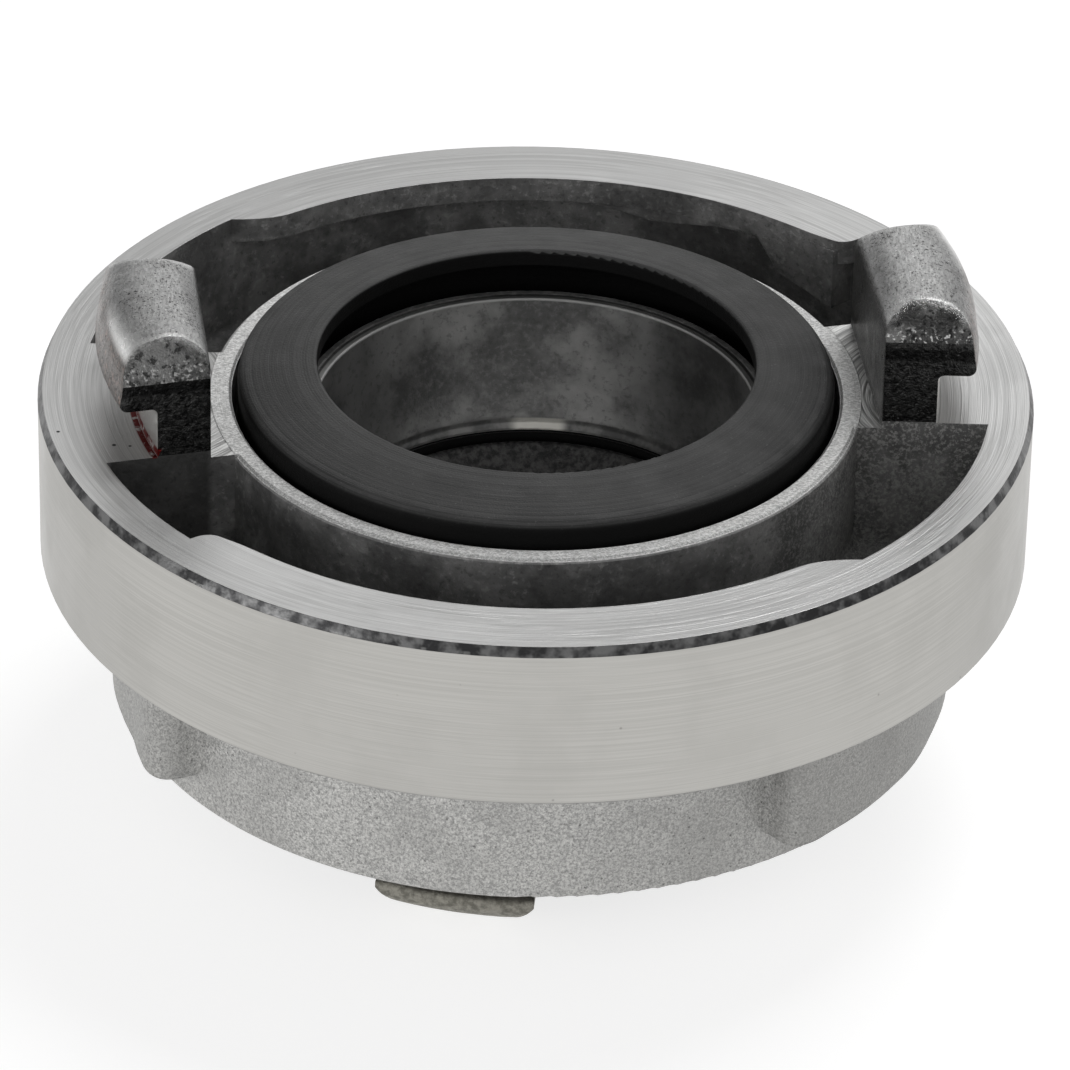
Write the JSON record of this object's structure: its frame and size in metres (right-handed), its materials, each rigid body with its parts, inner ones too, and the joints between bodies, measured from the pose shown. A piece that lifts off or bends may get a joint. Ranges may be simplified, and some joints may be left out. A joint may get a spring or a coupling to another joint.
{
  "type": "reducing hose coupling",
  "caption": "Light-alloy reducing hose coupling: two screwed-together halves with hooked claws of different spacing, cam lips and rubber face seals.",
  "frame": {"origin": "on the waterway axis, in the plane that the two small claws stand on", "axes": "+Z along the waterway towards the large half; the large claws lie near +X and -X, and -Y faces the viewer"},
  "size_m": [0.0983, 0.0982, 0.0556],
  "materials": {
    "turned_alloy": "cast light alloy, turned faces, worn satin",
    "blasted_alloy": "cast light alloy, blasted grey, as cast",
    "black_rubber": "matt black rubber"
  },
  "bodies": {
    "root": {"large_half": "turned_alloy", "small_half": "blasted_alloy", "joint_gasket": "black_rubber", "large_seal": "black_rubber", "small_seal": "black_rubber"}
  },
  "joints": []
}
